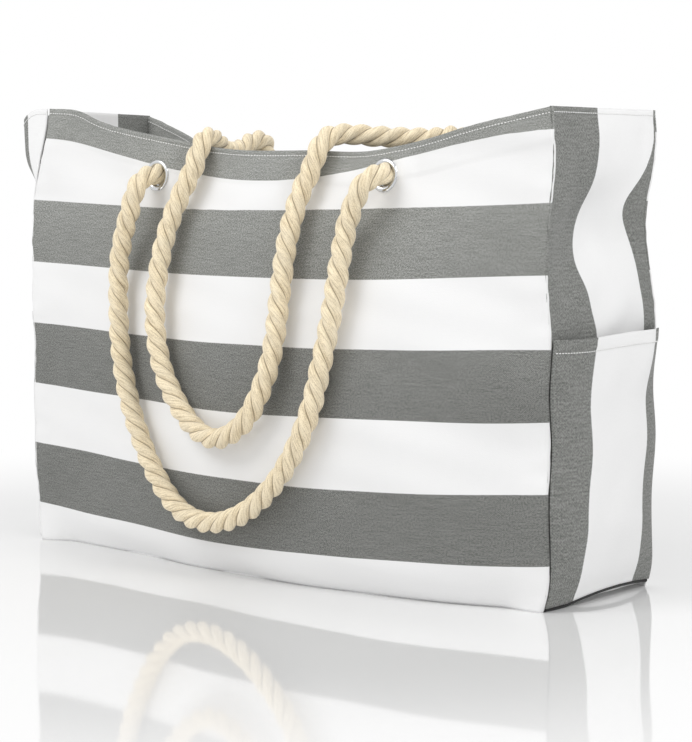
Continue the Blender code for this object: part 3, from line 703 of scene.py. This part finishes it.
def makeEyelets():
    chrome = plainMaterial("polished steel", (0.70, 0.71, 0.72, 1), 0.16, 1.0, 240.0, 0.00003, 0.08)
    bore, flange, crown = eyelet["bore"], eyelet["flange"], eyelet["crown"]
    rim = (flange - bore) / 2
    stack = canvas["layer"] + canvas["thickness"]
    profile = [(bore, -stack - 0.0012)]
    profile += [(bore + rim - rim * np.cos(a), 0.0003 + crown * np.sin(a)) for a in np.linspace(0, pi, 13)]
    profile += [(flange, 0.0), (bore + 0.0008, 0.0), (bore + 0.0008, -stack - 0.0003),
                (bore + 0.0022, -stack - 0.0006), (bore + 0.0020, -stack - 0.0016),
                (bore + 0.0006, -stack - 0.0018)]
    profile = np.array(profile)
    steps = eyelet["steps"]
    angles = np.arange(steps) * 2 * pi / steps
    ring = np.stack([profile[:, None, 0] * np.cos(angles), profile[:, None, 0] * np.sin(angles),
                     np.broadcast_to(profile[:, None, 1], (len(profile), steps))], axis=-1)
    faces = tubeFaces(len(profile), steps, closed=True)
    for which, depth, outward in (("front", frontDepth, 1), ("back", backDepth, -1)):
        for hand, side in (("left", -1), ("right", 1)):
            place = np.array(plateFrame(depth, side, outward))
            points = ring.reshape(-1, 3) @ place[:3, :3].T + place[:3, 3]
            made = makeMesh(which + "Eyelet" + hand.title(), points, faces, chrome)
            made.data.set_sharp_from_angle(angle=radians(50))
            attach(made, "root")
            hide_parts(f"{which}_eyelet_{hand}")
            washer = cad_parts[f"{which}_eyelet_washer_{hand}"]
            washer.data.materials.clear()
            washer.data.materials.append(chrome)


# the ropes; routes as the model has them, with their bends eased. The strands' backs stand at "radius"
rope = {"diameter": 0.016, "radius": 0.0088, "lay": 0.049, "strand": 0.0051, "around": 54, "step": 0.0012,
        "meetY": -0.024,
        "light": (0.91, 0.79, 0.57, 1), "dark": (0.38, 0.29, 0.17, 1),
        # the next colour is painted shade for the hollows between the strands
        "shadedGroove": (0.22, 0.16, 0.09, 1), "warm": (0.74, 0.68, 0.55, 1)}
frontRoute = [
    (-0.124, -0.060, 0.3305), (-0.124, -0.075, 0.3290), (-0.1245, -0.0900, 0.3255), (-0.1265, -0.0985, 0.3130),
    (-0.131, -0.0995, 0.297), (-0.139, -0.0985, 0.279), (-0.147, -0.0970, 0.250), (-0.147, -0.0980, 0.210),
    (-0.140, -0.1010, 0.168), (-0.123, -0.1060, 0.127), (-0.096, -0.1120, 0.086), (-0.058, -0.1190, 0.053),
    (-0.014, -0.1250, 0.046), (0.031, -0.1300, 0.062), (0.067, -0.1310, 0.095), (0.090, -0.1280, 0.138),
    (0.099, -0.1220, 0.181), (0.103, -0.1140, 0.221), (0.105, -0.1070, 0.258), (0.107, -0.1015, 0.285),
    (0.114, -0.1005, 0.305), (0.1225, -0.0985, 0.3215), (0.1275, -0.0880, 0.3285), (0.1255, -0.0745, 0.3295),
    (0.124, -0.060, 0.3305)]
backRoute = [
    (-0.124, 0.028, 0.3270), (-0.124, 0.0415, 0.3285), (-0.119, 0.0540, 0.3330), (-0.114, 0.0570, 0.3440),
    (-0.110, 0.0480, 0.3580), (-0.109, 0.032, 0.3580), (-0.104, 0.008, 0.3500), (-0.090, -0.024, 0.3490),
    (-0.078, -0.050, 0.3575), (-0.0715, -0.068, 0.3595), (-0.070, -0.0785, 0.3490), (-0.074, -0.0825, 0.332),
    (-0.083, -0.0880, 0.311), (-0.093, -0.0960, 0.276), (-0.097, -0.1020, 0.240), (-0.094, -0.1080, 0.202),
    (-0.079, -0.1130, 0.163), (-0.045, -0.1210, 0.128), (-0.009, -0.1270, 0.115), (0.026, -0.1300, 0.132),
    (0.044, -0.1260, 0.166), (0.049, -0.1200, 0.198), (0.048, -0.1120, 0.235), (0.047, -0.1020, 0.275),
    (0.049, -0.0900, 0.310), (0.055, -0.0825, 0.331), (0.0605, -0.0785, 0.3490), (0.0625, -0.068, 0.3590),
    (0.068, -0.050, 0.3612), (0.084, -0.026, 0.3590), (0.104, 0.008, 0.3580), (0.109, 0.032, 0.3600),
    (0.110, 0.0480, 0.3580), (0.114, 0.0570, 0.3440), (0.119, 0.0540, 0.3330), (0.124, 0.0415, 0.3285),
    (0.124, 0.028, 0.3270)]


def smoothLine(route, step):
    # a route as one smooth line in even steps, and how far along it each step is
    p = np.array(route, float)
    p = np.vstack([2 * p[0] - p[1], p, 2 * p[-1] - p[-2]])
    t = np.linspace(0, 1, 24, endpoint=False)[:, None]
    parts = []
    for a, b, c, d in zip(p, p[1:], p[2:], p[3:]):
        bend, twist = 2 * a - 5 * b + 4 * c - d, 3 * b - a - 3 * c + d
        parts.append(0.5 * (2 * b + (c - a) * t + bend * t**2 + twist * t**3))
    line = np.vstack(parts + [p[-2:-1]])
    for _ in range(30):
        line[1:-1] = line[1:-1] * 0.5 + (line[2:] + line[:-2]) * 0.25
    run = np.concatenate([[0], np.cumsum(np.linalg.norm(np.diff(line, axis=0), axis=1))])
    at = np.linspace(0, run[-1], int(run[-1] / step) + 1)
    return np.stack([np.interp(at, run, line[:, k]) for k in range(3)], axis=1), at


def frames(line):
    # directions along and across a line that turn with it and no more
    ahead = np.gradient(line, axis=0)
    ahead /= np.linalg.norm(ahead, axis=1)[:, None]
    out = np.zeros_like(line)
    start = np.cross(ahead[0], (0.3, 0.2, 1.0))
    out[0] = start / np.linalg.norm(start)
    for k in range(1, len(line)):
        turned = out[k - 1] - ahead[k] * (out[k - 1] @ ahead[k])
        out[k] = turned / np.linalg.norm(turned)
    return ahead, out, np.cross(ahead, out)


def fromCrown(angle):
    # the angle from the middle of the nearest of the three strands
    return (angle + pi / 3) % (2 * pi / 3) - pi / 3


def strandOutline(angle):
    # distance from the rope's middle to the outside of the three strands laid side by side
    strand = rope["strand"]
    centre = rope["radius"] - strand
    apart = fromCrown(angle)
    return centre * np.cos(apart) + np.sqrt(np.maximum(strand**2 - (centre * np.sin(apart)) ** 2, 1e-10))


def ropeMesh(name, centre, ahead, out, beside, at, material):
    # three strands laid left-handed about a line, as one closed skin
    around = rope["around"]
    theta = np.arange(around) * 2 * pi / around
    lobe = strandOutline(theta)
    angle = theta[None, :] - (2 * pi * at / rope["lay"])[:, None]
    slack = 1 + 0.025 * waves(at[:, None], theta[None, :] * 0.004, 0.05, 77)
    across = out[:, None, :] * np.cos(angle)[..., None] + beside[:, None, :] * np.sin(angle)[..., None]
    points = centre[:, None, :] + across * (lobe[None, :] * slack)[..., None]
    along = np.broadcast_to(at[:, None], angle.shape)
    strands = np.stack([np.broadcast_to(fromCrown(theta)[None, :] * 0.004, angle.shape), along], axis=-1)
    height = (lobe[None, :] - lobe.min()) / (lobe.max() - lobe.min())
    grooves = np.stack([np.broadcast_to(height, angle.shape), along], axis=-1)
    return makeMesh(name, points.reshape(-1, 3), tubeFaces(len(centre), around), material,
                    {"weave": strands.reshape(-1, 2), "stripes": grooves.reshape(-1, 2)})


def ropeMaterial():
    made, tree, shader = newMaterial("cotton rope")
    weave = node(tree, "UVMap", uv_map="weave").outputs["UV"]
    shadedGroove = node(tree, "SeparateXYZ", {0: node(tree, "UVMap", uv_map="stripes").outputs["UV"]}).outputs["X"]
    turned = node(tree, "Mapping", {"Vector": weave, "Rotation": (0, 0, 0.47), "Scale": (1250.0, 110.0, 1.0)})
    yarn = node(tree, "TexNoise", {"Vector": turned.outputs[0], "Scale": 1.0, "Detail": 3.0,
                                   "Roughness": 0.65})
    place = node(tree, "TexCoord").outputs["Object"]
    fluff = node(tree, "TexNoise", {"Vector": place, "Scale": 1300.0, "Detail": 3.0})
    patches = node(tree, "TexNoise", {"Vector": place, "Scale": 60.0, "Detail": 2.0})
    loose = maths(tree, "MULTIPLY", fluff.outputs[0], 0.35)
    fibre = maths(tree, "ADD", maths(tree, "MULTIPLY", yarn.outputs[0], 0.65), loose)
    contrast = node(tree, "MapRange", {"Value": fibre, "From Min": 0.40, "From Max": 0.56})
    colour = mixed(tree, contrast.outputs[0], rope["dark"], rope["light"])
    colour = mixed(tree, 0.40, colour, rope["light"])
    # painted shade: the rope is darkened in the hollows between its strands, where shade would fall
    deep = node(tree, "MapRange", {"Value": shadedGroove, "From Min": 0.0, "From Max": 0.20,
                                   "To Min": 0.9, "To Max": 0.0})
    colour = mixed(tree, deep.outputs[0], colour, rope["shadedGroove"])
    warm = node(tree, "MapRange", {"Value": patches.outputs[0], "From Min": 0.4, "From Max": 0.7,
                                   "To Max": 0.25})
    colour = mixed(tree, warm.outputs[0], colour, rope["warm"])
    tree.links.new(colour, shader.inputs["Base Color"])
    bump = node(tree, "Bump", {"Height": fibre, "Strength": 0.8, "Distance": 0.0009})
    tree.links.new(bump.outputs[0], shader.inputs["Normal"])
    shader.inputs["Roughness"].default_value = 0.92
    shader.inputs["Sheen Weight"].default_value = 0.25
    shader.inputs["Specular IOR Level"].default_value = 0.15
    return made


knot = {"size": 0.0062, "radius": 0.0052, "steps": 150, "around": 20, "behind": 0.0175}


def knotPiece(name, place, outward, material):
    # an overhand stopper knot drawn tight, as one closed loop of the rope's own strand
    t = np.linspace(0, 2 * pi, knot["steps"], endpoint=False)
    size, around = knot["size"], knot["around"]
    loop = np.stack([(np.sin(t) + 2 * np.sin(2 * t)) * size * 0.62,
                     (np.cos(t) - 2 * np.cos(2 * t)) * size * 0.62,
                     -np.sin(3 * t) * size * 0.95], axis=1)
    turn = np.array(Vector(outward).to_track_quat("Z", "Y").to_matrix())
    line = loop @ turn.T + np.array(place)
    ahead = np.roll(line, -1, axis=0) - np.roll(line, 1, axis=0)
    ahead /= np.linalg.norm(ahead, axis=1)[:, None]
    side = np.cross(ahead, np.array(outward))
    side /= np.linalg.norm(side, axis=1)[:, None]
    up = np.cross(side, ahead)
    theta = np.arange(around) * 2 * pi / around
    ridge = 1 + 0.10 * np.cos(3 * (theta[None, :] + t[:, None] * 2.0))
    across = side[:, None] * np.cos(theta)[None, :, None] + up[:, None] * np.sin(theta)[None, :, None]
    points = line[:, None] + across * (knot["radius"] * ridge)[..., None]
    strands = np.stack([np.broadcast_to(theta[None, :] * 0.004, ridge.shape),
                        np.broadcast_to(t[:, None] * 0.02, ridge.shape)], axis=-1)
    grooves = np.stack([np.full(ridge.shape, 0.8), np.zeros(ridge.shape)], axis=-1)
    made = makeMesh(name, points.reshape(-1, 3), tubeFaces(len(t), around, closed=True), material,
                    {"weave": strands.reshape(-1, 2), "stripes": grooves.reshape(-1, 2)})
    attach(made, "root")
    return made


def makeRopes():
    cotton = ropeMaterial()
    for which, depth, outward in (("front", frontDepth, 1), ("back", backDepth, -1)):
        for hand, side in (("left", -1), ("right", 1)):
            place = plateFrame(depth, side, outward)
            out = place.to_3x3() @ Vector((0, 0, 1))
            seat = place.translation - out * knot["behind"]
            knotPiece(f"{which}Knot{hand.title()}", seat, out, cotton)
    line, at = smoothLine(frontRoute, rope["step"])
    front = ropeMesh("frontHandle", line, *frames(line), at, cotton)
    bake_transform(front)
    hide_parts("front_handle", "front_handle_end_left", "front_handle_end_right")

    line, at = smoothLine(backRoute, rope["step"])
    ahead, out, beside = frames(line)
    # the back rope is three pieces, which meet where it crosses the middle of the mouth
    meets = np.where(np.diff(np.sign(line[:, 1] - rope["meetY"])) != 0)[0] + 1
    first, last = meets[0], meets[-1]
    for hand, low, high in (("left", 0, first), ("right", last, len(line) - 1)):
        part = slice(low, high + 1)
        leg = ropeMesh("backHandle" + hand.title(), line[part], ahead[part], out[part], beside[part],
                       at[part], cotton)
        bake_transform(leg)
        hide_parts("back_handle_end_" + hand)
    part = slice(first, last + 1)
    loop = ropeMesh("backHandleLoop", line[part], ahead[part], out[part], beside[part], at[part], cotton)
    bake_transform(loop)
    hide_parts("back_handle_loop", "back_handle_span_left", "back_handle_span_right")


base = {"inset": 0.0019, "liningInset": 0.0035, "liningLift": 0.0016, "across": 120, "deep": 40}


def makeBase():
    look = clothMaterial("base canvas")
    lining = clothMaterial("base lining", striped=False, grain=1.5)
    for name, cadNode, slot, lift, inset, thickness, material in (
            ("baseCanvas", "bottom_panel", "striped_canvas", 0.0, base["inset"], canvas["thickness"], look),
            ("baseLining", "lining_bottom", "lining_cloth", base["liningLift"], base["liningInset"],
             canvas["lining"], lining)):
        inset = inset + sag["under"]
        x = np.linspace(-bagForm["width"] / 2 + inset, bagForm["width"] / 2 - inset, base["across"])
        front, back = frontDepth(x, 0.0) + inset, backDepth(x, 0.0) - inset
        y = front + (back - front) * np.linspace(0, 1, base["deep"])[:, None]
        x = np.broadcast_to(x, y.shape)
        points = np.stack([x, y, np.full(y.shape, lift + thickness)], axis=-1)
        made = clothSheet(name, points, np.stack([x, y], axis=-1), np.stack([x, y * 0 + 0.01], axis=-1),
                          material, thickness)
        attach(made, "root")
        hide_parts(cadNode)


edging = {"radius": 0.0013, "from": -0.070, "to": 0.073, "around": 12, "along": 90, "proud": 0.0004}


def makeEdging():
    dark = plainMaterial("dark edging", (0.03, 0.03, 0.03, 1), 0.8, 0.0, 1400.0, 0.0003, 0.4)
    y = np.linspace(edging["from"], edging["to"], edging["along"])
    theta = np.arange(edging["around"]) * 2 * pi / edging["around"]
    for word, sign in (("left", -1), ("right", 1)):
        z = edging["radius"] * 0.9 + baseArch(y)
        drawn = seamPull(np.minimum(y - edging["from"], edging["to"] - y), y, 60)
        x = sign * (bagForm["width"] / 2 + edging["proud"] - drawn)
        points = np.stack([x[:, None] + edging["radius"] * np.cos(theta),
                           np.broadcast_to(y[:, None], (len(y), len(theta))),
                           z[:, None] + edging["radius"] * np.sin(theta)], axis=-1)
        faces = tubeFaces(len(y), len(theta))
        made = makeMesh(word + "BaseEdging", settle(points).reshape(-1, 3), faces, dark)
        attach(made, "root")
        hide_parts(word + "_base_edging")


def dressCadPieces():
    # pieces whose solids are already the right shape, given their finish
    steel = plainMaterial("zip metal", (0.60, 0.60, 0.61, 1), 0.25, 1.0, 500.0, 0.00004, 0.1)
    dark = plainMaterial("dark tape", (0.035, 0.036, 0.036, 1), 0.85, 0.0, 1400.0, 0.0003, 0.4)
    pouch = plainMaterial("pouch lining", (0.78, 0.78, 0.77, 1), 0.9, 0.0, 1200.0, 0.0003, 0.1)
    finishes = {"zip_tape": dark, "zip_": steel, "snap_": steel, "inner_pocket_pouch": pouch}
    for name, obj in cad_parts.items():
        for start, finish in finishes.items():
            if name.startswith(start):
                obj.data.materials.clear()
                obj.data.materials.append(finish)
                break


# the floor fades to white away from the bag, and keeps its shadow and a soft reflection
floorLook = {"colour": (0.78, 0.78, 0.78, 1), "gloss": 0.38, "roughness": 0.05,
             "fadeFrom": 0.40, "fadeTo": 0.85, "size": 60.0}


def makeFloor():
    made, tree, shader = newMaterial("studio floor")
    shader.inputs["Base Color"].default_value = floorLook["colour"]
    shader.inputs["Roughness"].default_value = 1.0
    shader.inputs["Specular IOR Level"].default_value = 0.0
    gloss = node(tree, "BsdfGlossy", {"Color": (1, 1, 1, 1), "Roughness": floorLook["roughness"]})
    both = node(tree, "MixShader", {0: floorLook["gloss"], 1: shader.outputs[0], 2: gloss.outputs[0]})
    away = node(tree, "VectorMath", {0: node(tree, "TexCoord").outputs["Object"]}, operation="LENGTH")
    far = node(tree, "MapRange", {"Value": away.outputs["Value"], "From Min": floorLook["fadeFrom"],
                                 "From Max": floorLook["fadeTo"]}, interpolation_type="SMOOTHSTEP")
    seen = maths(tree, "MULTIPLY", far.outputs[0], node(tree, "LightPath").outputs["Is Camera Ray"])
    white = node(tree, "Emission", {"Color": (1, 1, 1, 1)})
    faded = node(tree, "MixShader", {0: seen, 1: both.outputs[0], 2: white.outputs[0]})
    tree.links.new(faded.outputs[0], tree.nodes["Material Output"].inputs["Surface"])
    half = floorLook["size"] / 2
    floor = makeMesh("floor", [(-half, -half, 0), (half, -half, 0), (half, half, 0), (-half, half, 0)],
                     [(0, 1, 2, 3)], made, smoothShade=False)


print("camera and light")
makeCamera()
makeLight()
print("ropes")
makeRopes()
print("front and back")
makeFaces()
print("sides and pockets")
makeSides()
makePockets()
print("base, eyelets, inside")
makeBase()
makeEdging()
makeEyelets()
dressCadPieces()
print("stitches")
makeStitches()
print("floor")
makeFloor()
